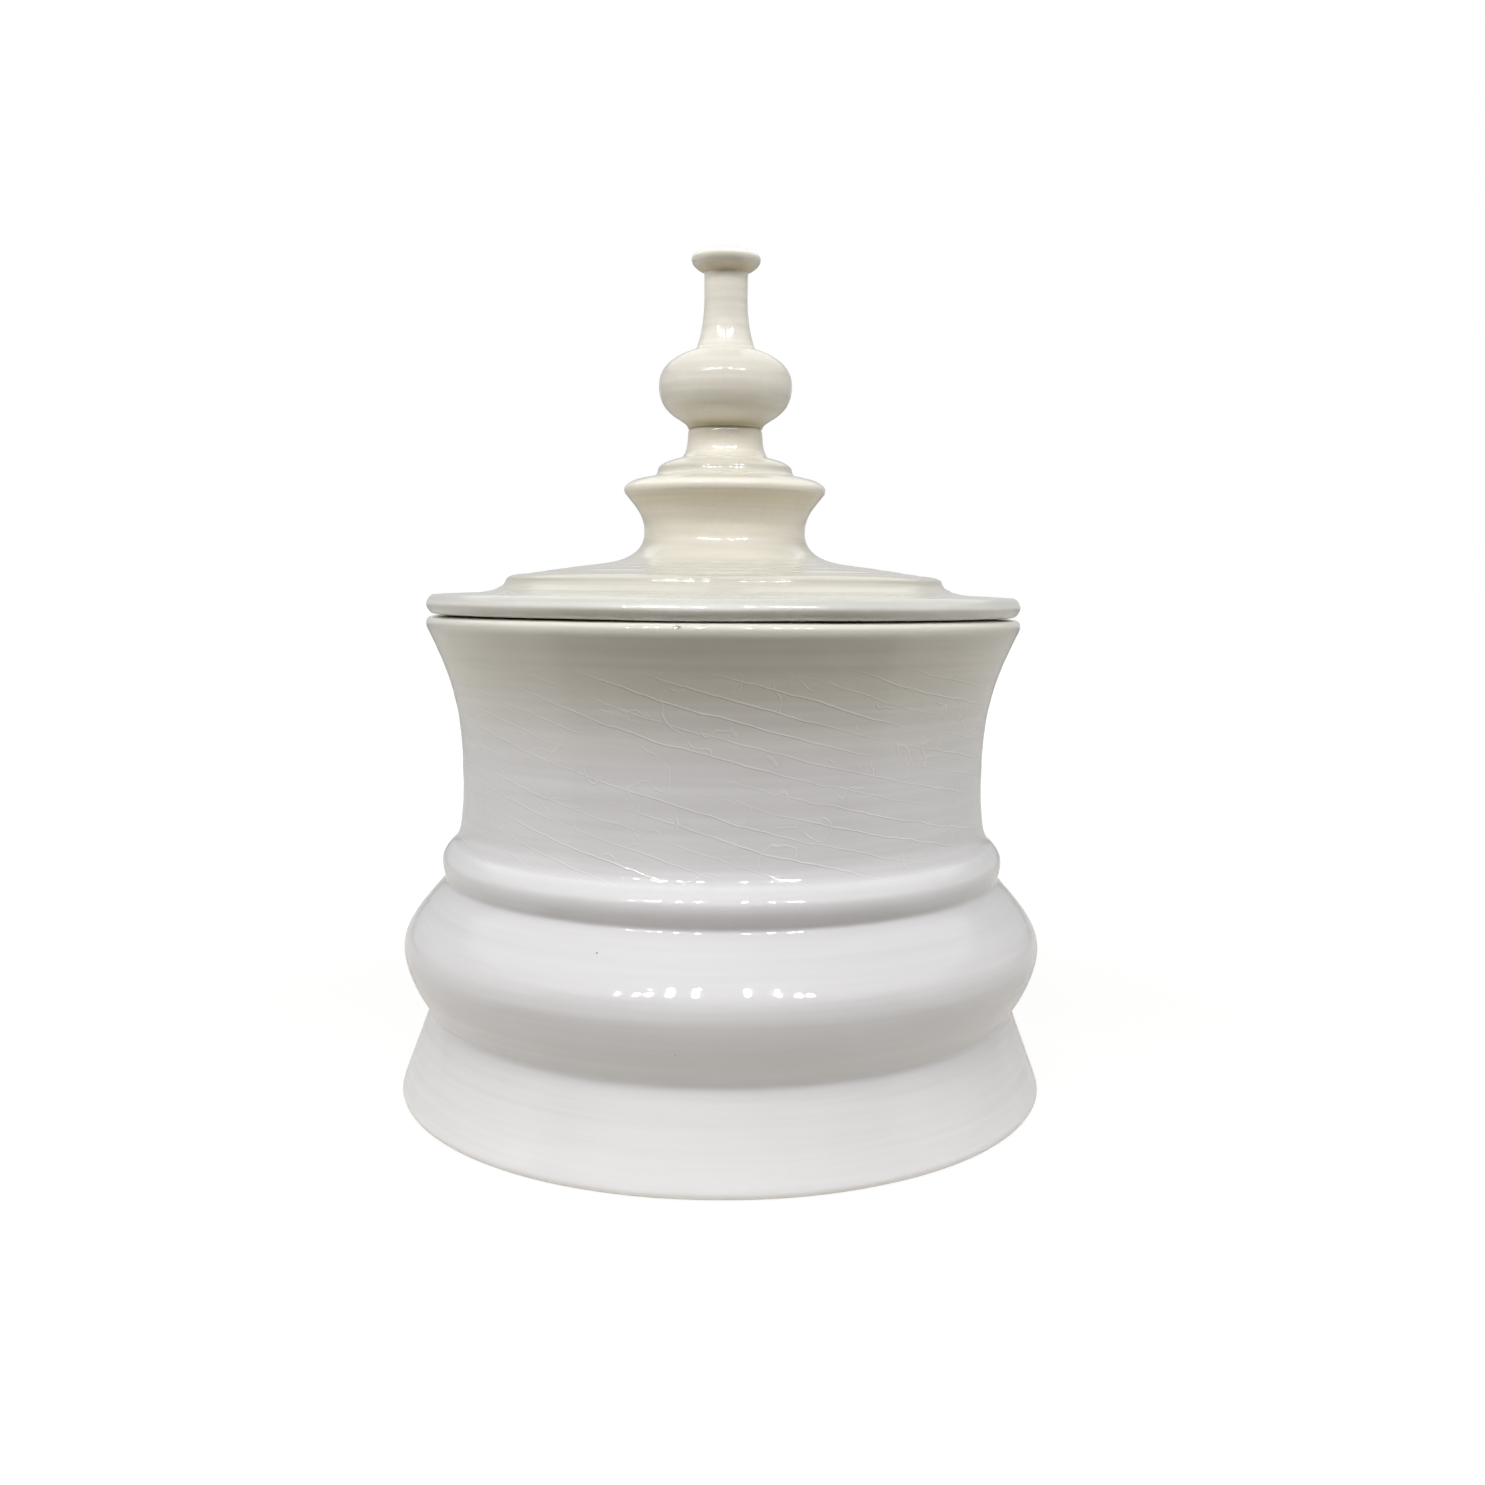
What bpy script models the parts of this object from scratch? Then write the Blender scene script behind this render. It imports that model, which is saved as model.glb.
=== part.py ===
"""Lidded ceramic apothecary jar: a turned jar body, a lid that lifts off and a finial luted to the lid.

Metres, +Z up. The origin is at the centre of the foot, on the surface that the jar stands on.
"""
import math

import bmesh
import bpy
from mathutils import Vector
from mathutils.geometry import interpolate_bezier

# Jar body, from the foot up: heights of the mouldings
FOOT_EDGE_HEIGHT = 0.0032
FOOT_HEIGHT = 0.0347
BELLY_LOWER_HEIGHT = 0.0243
BELLY_UPPER_HEIGHT = 0.0275
BEAD_LOWER_HEIGHT = 0.0055
BEAD_UPPER_HEIGHT = 0.0072
WALL_LOWER_HEIGHT = 0.0228
WALL_UPPER_HEIGHT = 0.0588
RIM_LIP_HEIGHT = 0.0024
RIM_SHOULDER_HEIGHT = 0.0024
RIM_CROWN_HEIGHT = 0.0008

# Jar body: radii
FOOT_RADIUS = 0.1270
FOOT_EDGE_WIDTH = 0.0028
FOOT_RING_WIDTH = 0.0180
CREASE_RADIUS = 0.1151
BELLY_RADIUS = 0.1254
BEAD_SEAT_RADIUS = 0.1096
BEAD_RADIUS = 0.1102
WALL_FOOT_RADIUS = 0.1063
WAIST_RADIUS = 0.1021
WALL_TOP_RADIUS = 0.1146
RIM_RADIUS = 0.1154
RIM_WIDTH = 0.0126
RIM_ROUND = 0.0019
CROWN_WIDTH = 0.0050

# Jar body: wall, floor and the recess inside the foot ring
WALL = 0.0070
FLOOR = 0.0090
FLOOR_FILLET = 0.0120
FOOT_RECESS = 0.0025

# How the lid sits: seat on the crown, skirt inside the mouth
SEAT_GAP = 0.0003
SKIRT_CLEARANCE = 0.0015
SKIRT_DEPTH = 0.0120
SKIRT_WALL = 0.0060
MOUTH_RUN_PAST_SKIRT = 0.0060

# Lid, from the flange up: heights
FLANGE_LOWER_HEIGHT = 0.0036
FLANGE_UPPER_HEIGHT = 0.0038
FLANGE_FALL = 0.0007
STEP_HEIGHT = 0.0050
STEP_EDGE_HEIGHT = 0.0023
DOME_HEIGHT = 0.0043
COLLAR_LOWER_HEIGHT = 0.0124
COLLAR_UPPER_HEIGHT = 0.0145
DISC_LOWER_HEIGHT = 0.0022
DISC_UPPER_HEIGHT = 0.0036
DISC_TOP_RISE = 0.0011
TIER_HEIGHT = 0.0030
TIER_EDGE_HEIGHT = 0.0042
NECK_FOOT_HEIGHT = 0.0100
NECK_HEIGHT = 0.0017

# Lid: radii and wall
FLANGE_ROUND = 0.0030
STEP_FILLET = 0.0132
STEP_RADIUS = 0.0851
STEP_EDGE = 0.0078
DOME_TOP_RADIUS = 0.0478
COLLAR_RADIUS = 0.0315
DISC_UNDER_RADIUS = 0.0386
DISC_RADIUS = 0.0394
DISC_TOP_RADIUS = 0.0340
TIER_FOOT_RADIUS = 0.0287
TIER_RADIUS = 0.0262
TIER_TOP_RADIUS = 0.0176
NECK_RADIUS = 0.0143
LID_WALL = 0.0065

# Finial: heights above the luted joint, and radii
SLIP_GAP = 0.0003
KNOP_LOWER_HEIGHT = 0.0160
KNOP_UPPER_HEIGHT = 0.0134
STEM_FOOT_HEIGHT = 0.0014
STEM_LOWER_HEIGHT = 0.0190
STEM_UPPER_HEIGHT = 0.0085
BUTTON_LOWER_HEIGHT = 0.0054
BUTTON_UPPER_HEIGHT = 0.0049
KNOP_RADIUS = 0.0259
KNOP_TOP_RADIUS = 0.0123
STEM_FOOT_RADIUS = 0.0111
STEM_RADIUS = 0.0083
BUTTON_RADIUS = 0.0133

# Curve shapes: both handles as shares of the run out and of the rise between a curve's ends
QUARTER = 0.55
ROUND_OUT_DOWN = ((QUARTER, 0.0), (1.0, 1.0 - QUARTER))
ROUND_DOWN_IN = ((0.0, QUARTER), (1.0 - QUARTER, 1.0))
WALL_FLARE = ((0.76, 0.34), (1.0, 0.53))
WALL_SPREAD = ((0.0, 0.50), (0.35, 0.90))
BEAD_TOP = ((0.55, 0.30), (1.0, 0.60))
BEAD_UNDER = ((0.0, 0.45), (0.85, 0.75))
BELLY_SHOULDER = ((0.20, 0.22), (1.0, 0.61))
BELLY_UNDER = ((0.0, 0.33), (0.54, 0.74))
INNER_SWELL = ((0.0, 0.45), (1.0, 0.55))
INNER_DRAW_IN = ((0.0, 0.13), (1.0, 0.40))
STEP_CAVETTO = ((0.05, 0.60), (0.45, 1.0))
DOME_FALL = ((0.30, 0.26), (0.75, 0.68))
COLLAR_SPREAD = ((0.0, 0.66), (0.47, 0.90))
COLLAR_DRAW_IN = ((0.35, 0.25), (1.0, 0.50))
DISC_OVOLO = ((0.40, 0.15), (0.95, 0.55))
BUTTON_UNDER = ((0.0, 0.35), (0.75, 0.62))
NECK_SPREAD = ((0.0, 0.55), (0.30, 0.92))
KNOP_SHOULDER = ((0.66, 0.22), (1.0, 0.54))
KNOP_UNDER = ((0.0, 0.63), (0.86, 0.78))
STEM_SPREAD = ((0.0, 0.45), (0.50, 0.80))

SHORT_CURVE_SEGMENTS = 2
CURVE_SEGMENTS = 4
LONG_CURVE_SEGMENTS = 6
BODY_SEGMENTS = 40
FINIAL_SEGMENTS = 32
MERGE_DISTANCE = 0.00001
SHARP_ANGLE = math.radians(35)

BODY_WHITE = (0.75, 0.74, 0.75)
LID_IVORY = (0.80, 0.78, 0.70)
FINIAL_IVORY = (0.78, 0.74, 0.63)
GLAZE_ROUGHNESS = 0.12


def curve(start, end, shape, segments=CURVE_SEGMENTS):
    """Points of a moulding from start to end, without the start, for two handles given as shares."""
    run = end[0] - start[0]
    rise = end[1] - start[1]
    knots = [start]
    for share_out, share_up in shape:
        knots.append((start[0] + share_out * run, start[1] + share_up * rise))
    knots.append(end)
    path = interpolate_bezier(*[Vector((r, z, 0.0)) for r, z in knots], segments + 1)
    return [(p.x, p.y) for p in path[1:]]


def glaze(name, colour):
    material = bpy.data.materials.new(name)
    material.use_nodes = True
    shader = material.node_tree.nodes["Principled BSDF"]
    shader.inputs["Base Color"].default_value = (*colour, 1.0)
    shader.inputs["Roughness"].default_value = GLAZE_ROUGHNESS
    shader.inputs["Metallic"].default_value = 0.0
    return material


def turned(name, outline, base_z, segments, material, collection):
    """A solid turned about Z from (radius, height) points that run down its outer side."""
    mesh = bpy.data.meshes.new(name)
    bm = bmesh.new()
    verts = [bm.verts.new((r, 0.0, z - base_z)) for r, z in outline]
    for upper, lower in zip(verts, verts[1:]):
        bm.edges.new((upper, lower))
    bm.to_mesh(mesh)
    bm.free()
    piece = bpy.data.objects.new(name, mesh)
    piece.location.z = base_z
    collection.objects.link(piece)
    mesh.materials.append(material)
    screw = piece.modifiers.new("Turn", "SCREW")
    screw.axis = "Z"
    screw.angle = math.tau
    screw.steps = segments
    screw.render_steps = segments
    screw.use_merge_vertices = True
    screw.merge_threshold = MERGE_DISTANCE
    screw.use_smooth_shade = True
    mesh.set_sharp_from_angle(angle=SHARP_ANGLE)
    return piece


def jar_outline():
    """Inside from the floor up to the mouth, over the rim, down the outside and under the foot."""
    crease_z = FOOT_HEIGHT
    belly_z = crease_z + BELLY_LOWER_HEIGHT
    bead_seat_z = belly_z + BELLY_UPPER_HEIGHT
    bead_z = bead_seat_z + BEAD_LOWER_HEIGHT
    wall_foot_z = bead_z + BEAD_UPPER_HEIGHT
    waist_z = wall_foot_z + WALL_LOWER_HEIGHT
    wall_top_z = waist_z + WALL_UPPER_HEIGHT
    lip_z = wall_top_z + RIM_LIP_HEIGHT
    shoulder_z = lip_z + RIM_SHOULDER_HEIGHT
    crown_z = shoulder_z + RIM_CROWN_HEIGHT

    floor_z = FOOT_RECESS + FLOOR
    mouth_radius = RIM_RADIUS - RIM_WIDTH
    inner_foot = CREASE_RADIUS - WALL
    fillet_start = (inner_foot - FLOOR_FILLET, floor_z)
    fillet_end = (inner_foot, floor_z + FLOOR_FILLET)
    inner_belly = (BELLY_RADIUS - WALL, belly_z)
    inner_waist = (WAIST_RADIUS - WALL, waist_z)
    mouth_foot = (mouth_radius, crown_z - SKIRT_DEPTH - MOUTH_RUN_PAST_SKIRT)
    inside = [(0.0, floor_z), fillet_start]
    inside += curve(fillet_start, fillet_end, ROUND_OUT_DOWN)
    inside += curve(fillet_end, inner_belly, INNER_SWELL)
    inside += curve(inner_belly, inner_waist, INNER_DRAW_IN, LONG_CURVE_SEGMENTS)
    inside += curve(inner_waist, mouth_foot, INNER_SWELL)
    inside += [(mouth_radius, crown_z)]

    crown = (mouth_radius + CROWN_WIDTH, crown_z)
    shoulder = (RIM_RADIUS - RIM_ROUND, shoulder_z)
    lip = (RIM_RADIUS, lip_z)
    wall_top = (WALL_TOP_RADIUS, wall_top_z)
    waist = (WAIST_RADIUS, waist_z)
    wall_foot = (WALL_FOOT_RADIUS, wall_foot_z)
    bead = (BEAD_RADIUS, bead_z)
    bead_seat = (BEAD_SEAT_RADIUS, bead_seat_z)
    belly = (BELLY_RADIUS, belly_z)
    crease = (CREASE_RADIUS, crease_z)
    foot_edge = (FOOT_RADIUS, FOOT_EDGE_HEIGHT)
    ring_outer = (FOOT_RADIUS - FOOT_EDGE_WIDTH, 0.0)
    outside = [crown, shoulder]
    outside += curve(shoulder, lip, ROUND_OUT_DOWN)
    outside += [wall_top]
    outside += curve(wall_top, waist, WALL_FLARE, LONG_CURVE_SEGMENTS)
    outside += curve(waist, wall_foot, WALL_SPREAD, LONG_CURVE_SEGMENTS)
    outside += curve(wall_foot, bead, BEAD_TOP)
    outside += curve(bead, bead_seat, BEAD_UNDER)
    outside += curve(bead_seat, belly, BELLY_SHOULDER, LONG_CURVE_SEGMENTS)
    outside += curve(belly, crease, BELLY_UNDER, LONG_CURVE_SEGMENTS)
    outside += [foot_edge]
    outside += curve(foot_edge, ring_outer, ROUND_DOWN_IN)

    ring_inner = ring_outer[0] - FOOT_RING_WIDTH
    under = [(ring_inner, 0.0), (ring_inner - FOOT_RECESS, FOOT_RECESS), (0.0, FOOT_RECESS)]
    return inside + outside + under, crown_z


def lid_outline(seat_z):
    """Outside from the neck down to the flange, the skirt, then the hollow underside up to its crown."""
    flange_edge_z = seat_z + FLANGE_LOWER_HEIGHT
    flange_top_z = flange_edge_z + FLANGE_UPPER_HEIGHT
    fillet_z = flange_top_z + FLANGE_FALL
    step_z = fillet_z + STEP_HEIGHT
    dome_foot_z = step_z + STEP_EDGE_HEIGHT
    dome_top_z = dome_foot_z + DOME_HEIGHT
    collar_z = dome_top_z + COLLAR_LOWER_HEIGHT
    disc_under_z = collar_z + COLLAR_UPPER_HEIGHT
    disc_z = disc_under_z + DISC_LOWER_HEIGHT
    disc_top_z = disc_z + DISC_UPPER_HEIGHT
    tier_foot_z = disc_top_z + DISC_TOP_RISE
    tier_z = tier_foot_z + TIER_HEIGHT
    tier_top_z = tier_z + TIER_EDGE_HEIGHT
    neck_z = tier_top_z + NECK_FOOT_HEIGHT
    neck_top_z = neck_z + NECK_HEIGHT

    neck = (NECK_RADIUS, neck_z)
    tier_top = (TIER_TOP_RADIUS, tier_top_z)
    tier = (TIER_RADIUS, tier_z)
    tier_foot = (TIER_FOOT_RADIUS, tier_foot_z)
    disc_top = (DISC_TOP_RADIUS, disc_top_z)
    disc = (DISC_RADIUS, disc_z)
    disc_under = (DISC_UNDER_RADIUS, disc_under_z)
    collar = (COLLAR_RADIUS, collar_z)
    dome_top = (DOME_TOP_RADIUS, dome_top_z)
    dome_foot = (STEP_RADIUS - STEP_EDGE, dome_foot_z)
    step = (STEP_RADIUS, step_z)
    fillet = (STEP_RADIUS + STEP_FILLET, fillet_z)
    flange_top = (RIM_RADIUS - FLANGE_ROUND, flange_top_z)
    flange_edge = (RIM_RADIUS, flange_edge_z)
    flange_under = (RIM_RADIUS - FLANGE_ROUND, seat_z)
    outside = [(0.0, neck_top_z), (NECK_RADIUS, neck_top_z), neck]
    outside += curve(neck, tier_top, NECK_SPREAD)
    outside += curve(tier_top, tier, DISC_OVOLO)
    outside += curve(tier, tier_foot, ROUND_DOWN_IN, SHORT_CURVE_SEGMENTS)
    outside += [disc_top]
    outside += curve(disc_top, disc, DISC_OVOLO)
    outside += curve(disc, disc_under, ROUND_DOWN_IN, SHORT_CURVE_SEGMENTS)
    outside += curve(disc_under, collar, COLLAR_DRAW_IN)
    outside += curve(collar, dome_top, COLLAR_SPREAD, LONG_CURVE_SEGMENTS)
    outside += curve(dome_top, dome_foot, DOME_FALL)
    outside += curve(dome_foot, step, ROUND_OUT_DOWN)
    outside += curve(step, fillet, STEP_CAVETTO)
    outside += [flange_top]
    outside += curve(flange_top, flange_edge, ROUND_OUT_DOWN)
    outside += curve(flange_edge, flange_under, ROUND_DOWN_IN)

    skirt_radius = RIM_RADIUS - RIM_WIDTH - SKIRT_CLEARANCE
    skirt_inner = skirt_radius - SKIRT_WALL
    skirt_z = seat_z - SKIRT_DEPTH
    skirt = [(skirt_radius, seat_z), (skirt_radius, skirt_z), (skirt_inner, skirt_z)]

    hollow_collar = COLLAR_RADIUS - LID_WALL
    flange_ceiling = (skirt_inner, fillet_z - LID_WALL)
    step_ceiling = (STEP_RADIUS - LID_WALL, dome_foot_z - LID_WALL)
    dome_ceiling = (DOME_TOP_RADIUS - LID_WALL, dome_top_z - LID_WALL)
    collar_wall = (hollow_collar, collar_z)
    collar_top = (hollow_collar, disc_under_z)
    hollow_crown = (0.0, tier_z - LID_WALL)
    hollow = [flange_ceiling, step_ceiling, dome_ceiling, collar_wall, collar_top, hollow_crown]
    return outside + skirt + hollow, neck_top_z


def finial_outline(joint_z):
    """Outside from the button's top down to the luted joint, then across to the axis."""
    knop_z = joint_z + KNOP_LOWER_HEIGHT
    knop_top_z = knop_z + KNOP_UPPER_HEIGHT
    stem_foot_z = knop_top_z + STEM_FOOT_HEIGHT
    stem_z = stem_foot_z + STEM_LOWER_HEIGHT
    button_foot_z = stem_z + STEM_UPPER_HEIGHT
    button_z = button_foot_z + BUTTON_LOWER_HEIGHT
    top_z = button_z + BUTTON_UPPER_HEIGHT

    top = (0.0, top_z)
    button = (BUTTON_RADIUS, button_z)
    button_foot = (STEM_RADIUS, button_foot_z)
    stem = (STEM_RADIUS, stem_z)
    stem_foot = (STEM_FOOT_RADIUS, stem_foot_z)
    knop_top = (KNOP_TOP_RADIUS, knop_top_z)
    knop = (KNOP_RADIUS, knop_z)
    joint = (NECK_RADIUS, joint_z)
    outside = [top]
    outside += curve(top, button, ROUND_OUT_DOWN)
    outside += curve(button, button_foot, BUTTON_UNDER)
    outside += [stem]
    outside += curve(stem, stem_foot, STEM_SPREAD)
    outside += [knop_top]
    outside += curve(knop_top, knop, KNOP_SHOULDER, LONG_CURVE_SEGMENTS)
    outside += curve(knop, joint, KNOP_UNDER, LONG_CURVE_SEGMENTS)
    return outside + [(0.0, joint_z)]


def main():
    for old in list(bpy.data.objects):
        bpy.data.objects.remove(old)
    collection = bpy.data.collections.new("apothecary_jar")
    bpy.context.scene.collection.children.link(collection)

    outline, crown_z = jar_outline()
    turned("jar_body", outline, 0.0, BODY_SEGMENTS, glaze("white_glaze", BODY_WHITE), collection)

    seat_z = crown_z + SEAT_GAP
    lift = bpy.data.objects.new("lid_lift", None)
    lift.location.z = seat_z
    collection.objects.link(lift)
    outline, neck_top_z = lid_outline(seat_z)
    lid_glaze = glaze("ivory_glaze", LID_IVORY)
    lid = turned("lid", outline, seat_z, BODY_SEGMENTS, lid_glaze, collection)

    joint_z = neck_top_z + SLIP_GAP
    outline = finial_outline(joint_z)
    finial_glaze = glaze("finial_glaze", FINIAL_IVORY)
    finial = turned("finial", outline, joint_z, FINIAL_SEGMENTS, finial_glaze, collection)
    for piece in (lid, finial):
        piece.parent = lift
        piece.location.z -= lift.location.z


main()
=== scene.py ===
import math

import bpy
from mathutils import Matrix, Vector, noise
from mathutils.geometry import interpolate_bezier


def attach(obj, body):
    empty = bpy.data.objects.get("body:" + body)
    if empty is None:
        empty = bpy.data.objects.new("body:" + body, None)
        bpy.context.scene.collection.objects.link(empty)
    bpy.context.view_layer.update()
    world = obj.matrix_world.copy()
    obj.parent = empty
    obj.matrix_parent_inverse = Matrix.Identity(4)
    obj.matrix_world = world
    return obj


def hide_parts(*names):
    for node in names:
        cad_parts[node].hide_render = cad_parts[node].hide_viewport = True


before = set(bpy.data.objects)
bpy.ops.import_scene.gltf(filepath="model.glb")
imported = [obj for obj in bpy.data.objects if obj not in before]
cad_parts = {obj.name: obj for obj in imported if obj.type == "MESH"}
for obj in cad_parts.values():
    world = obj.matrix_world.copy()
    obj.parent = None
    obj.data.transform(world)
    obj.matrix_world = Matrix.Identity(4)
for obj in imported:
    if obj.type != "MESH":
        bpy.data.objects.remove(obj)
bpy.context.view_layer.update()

scene = bpy.context.scene
mm = 0.001
print("frame loaded:", sorted(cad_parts))


# Outlines are lists of (radius, height) in millimetres, drawn as a potter's template would be cut.
# A moulding is the name of its end, two handles as shares of its run and rise, and its step in mm
quarterRound = 0.55  # handle share that makes a quarter of an ellipse
outThenDown = ((quarterRound, 0.0), (1.0, 1.0 - quarterRound))
downThenIn = ((0.0, quarterRound), (1.0 - quarterRound, 1.0))
straight = ((1 / 3, 1 / 3), (2 / 3, 2 / 3))
weldGap = 0.02  # mm, points closer than this become one
fineRings = 0.4  # the finer throwing rings, as a share of the broad ones


def drawTo(outline, end, handles, step):
    start = outline[-1]
    run, rise = end[0] - start[0], end[1] - start[1]
    count = max(3, math.ceil(math.hypot(run, rise) / step))
    knots = [start] + [(start[0] + a * run, start[1] + b * rise) for a, b in handles] + [end]
    path = interpolate_bezier(*[Vector((r, z, 0)) for r, z in knots], count + 1)
    outline += [(p.x, p.y) for p in path[1:]]


def followMouldings(outline, piece, side):
    for place, handles, step in piece[side]:
        drawTo(outline, piece[place], handles, step)


def pushOutline(outline, pushAt):
    # each inner point moves along the outline's own normal
    moved, travelled = [outline[0]], 0.0
    for before, point, after in zip(outline, outline[1:], outline[2:]):
        along = Vector((after[0] - before[0], after[1] - before[1])).normalized()
        travelled += math.hypot(point[0] - before[0], point[1] - before[1])
        push = pushAt(point, travelled)
        moved.append((point[0] - along.y * push, point[1] + along.x * push))
    return moved + [outline[-1]]


def throwingMarks(outline, depth, pitch, seed):
    # fingers and ribs leave faint rings, broad ones with finer ones between
    def ring(point, travelled):
        broad = noise.noise(Vector((seed, 0.5 * seed, travelled / pitch)))
        fine = noise.noise(Vector((seed + 9, seed, travelled / (fineRings * pitch))))
        return depth * broad + fineRings * depth * fine
    return pushOutline(outline, ring)


def turnedLines(outline, lines):
    # the turning tool's fine grooves, each as its place (radius, height), depth and width in mm
    def groove(point, travelled):
        push = 0.0
        for place, depth, width in lines:
            away = math.hypot(point[0] - place[0], point[1] - place[1])
            push -= depth * math.exp(-(away / width) ** 2)
        return push
    return pushOutline(outline, groove)


def softGlaze(outline, passes):
    # melted glaze fills corners and rounds edges, so each point drifts towards its neighbours
    for _ in range(passes):
        inner = [((a[0] + 2 * b[0] + c[0]) / 4, (a[1] + 2 * b[1] + c[1]) / 4)
                 for a, b, c in zip(outline, outline[1:], outline[2:])]
        outline = [outline[0]] + inner + [outline[-1]]
    return outline


def turnOutline(name, outline, segments):
    # one vertex, extruded along the template and spun round the wheel's axis
    bpy.ops.object.select_all(action="DESELECT")
    bpy.ops.mesh.primitive_plane_add(size=mm)
    piece = bpy.context.object
    piece.name = name
    piece.data.name = name
    bpy.ops.object.mode_set(mode="EDIT")
    bpy.ops.mesh.select_all(action="SELECT")
    bpy.ops.mesh.merge(type="CENTER")
    places = [Vector((r * mm, 0, z * mm)) for r, z in outline]
    bpy.ops.transform.translate(value=places[0])
    for here, there in zip(places, places[1:]):
        bpy.ops.mesh.extrude_vertices_move(TRANSFORM_OT_translate={"value": there - here})
    bpy.ops.mesh.select_all(action="SELECT")
    bpy.ops.mesh.spin(steps=segments, angle=math.tau, center=(0, 0, 0), axis=(0, 0, 1))
    bpy.ops.mesh.select_all(action="SELECT")
    bpy.ops.mesh.remove_doubles(threshold=weldGap * mm)
    bpy.ops.mesh.normals_make_consistent(inside=False)
    bpy.ops.object.mode_set(mode="OBJECT")
    bpy.ops.object.shade_smooth()
    return piece


def unevenness(piece, strength, scale):
    # no thrown pot is true: a slow wander of the surface, which bends the reflections
    wander = bpy.data.textures.new(piece.name + "Wander", "CLOUDS")
    wander.noise_scale = scale * mm
    wander.noise_depth = 1
    bpy.ops.object.modifier_add(type="DISPLACE")
    bend = piece.modifiers[-1]
    bend.texture = wander
    bend.texture_coords = "LOCAL"
    bend.strength = strength * mm
    bend.mid_level = 0.5
    bpy.ops.object.modifier_apply(modifier=bend.name)


def settle(piece, node, body):
    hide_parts(node)
    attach(piece, body)
    print(piece.name, "made:", len(piece.data.polygons), "faces")


# Jar body. Rings are depth, pitch and seed, uneven is depth and size, all in mm
jar = {
    "crown": (107.8, 186.4), "shoulder": (113.6, 185.6), "lip": (115.3, 183.2), "wallTop": (114.6, 180.8),
    "waist": (102.1, 122.0), "wallFoot": (106.4, 98.6), "bead": (110.2, 92.0), "beadSeat": (109.0, 84.9),
    "belly": (125.3, 59.0), "crease": (115.1, 34.7), "footEdge": (126.8, 3.2), "ring": (124.2, 0.1),
    "outside": [
        ("shoulder", ((0.4, 0.1), (0.8, 0.55)), 0.8), ("lip", outThenDown, 0.35),
        ("wallTop", ((0, 0.4), (0.6, 0.75)), 0.5), ("waist", ((0.76, 0.34), (1, 0.53)), 1.0),
        ("wallFoot", ((0, 0.52), (0.24, 0.92)), 0.7), ("bead", ((0.55, 0.30), (1, 0.60)), 0.5),
        ("beadSeat", ((0, 0.45), (0.85, 0.75)), 0.5), ("belly", ((0.20, 0.22), (1, 0.61)), 0.8),
        ("crease", ((0, 0.33), (0.54, 0.74)), 0.7), ("footEdge", straight, 0.7), ("ring", downThenIn, 0.4),
    ],
    "innerFoot": (108.1, 23.5), "innerBelly": (118.3, 59.0), "innerWaist": (95.1, 122.0),
    "mouthFoot": (102.8, 168.4), "mouth": (102.8, 184.8), "mouthRound": 1.6, "floorFillet": 12.0,
    "inside": [
        ("innerFoot", outThenDown, 2), ("innerBelly", ((0, 0.45), (1, 0.55)), 3),
        ("innerWaist", ((0, 0.13), (1, 0.40)), 3), ("mouthFoot", ((0, 0.45), (1, 0.55)), 3),
        ("mouth", straight, 3),
    ],
    "ringWidth": 18.0, "recess": 2.5,
    "segments": 192, "rings": (0.10, 5.0, 3), "uneven": (0.30, 70.0), "soft": 3,
}


def makeJar():
    floor = jar["innerFoot"][1] - jar["floorFillet"]
    inside = [(0.0, floor)]
    drawTo(inside, (jar["innerFoot"][0] - jar["floorFillet"], floor), straight, step=6)
    followMouldings(inside, jar, "inside")
    drawTo(inside, (jar["mouth"][0] + jar["mouthRound"], jar["crown"][1]), downThenIn, step=0.5)
    drawTo(inside, jar["crown"], straight, step=1.5)

    outside = [inside[-1]]
    followMouldings(outside, jar, "outside")
    outside = throwingMarks(softGlaze(outside, jar["soft"]), *jar["rings"])

    base = [outside[-1]]
    ringInner = jar["ring"][0] - jar["ringWidth"]
    drawTo(base, (ringInner, jar["ring"][1]), straight, step=3)
    drawTo(base, (ringInner - jar["recess"], jar["recess"]), outThenDown, step=0.6)
    drawTo(base, (0.0, jar["recess"]), straight, step=8)
    piece = turnOutline("jarBody", inside + outside[1:] + base[1:], jar["segments"])
    unevenness(piece, *jar["uneven"])
    return piece


jarBody = makeJar()


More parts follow.
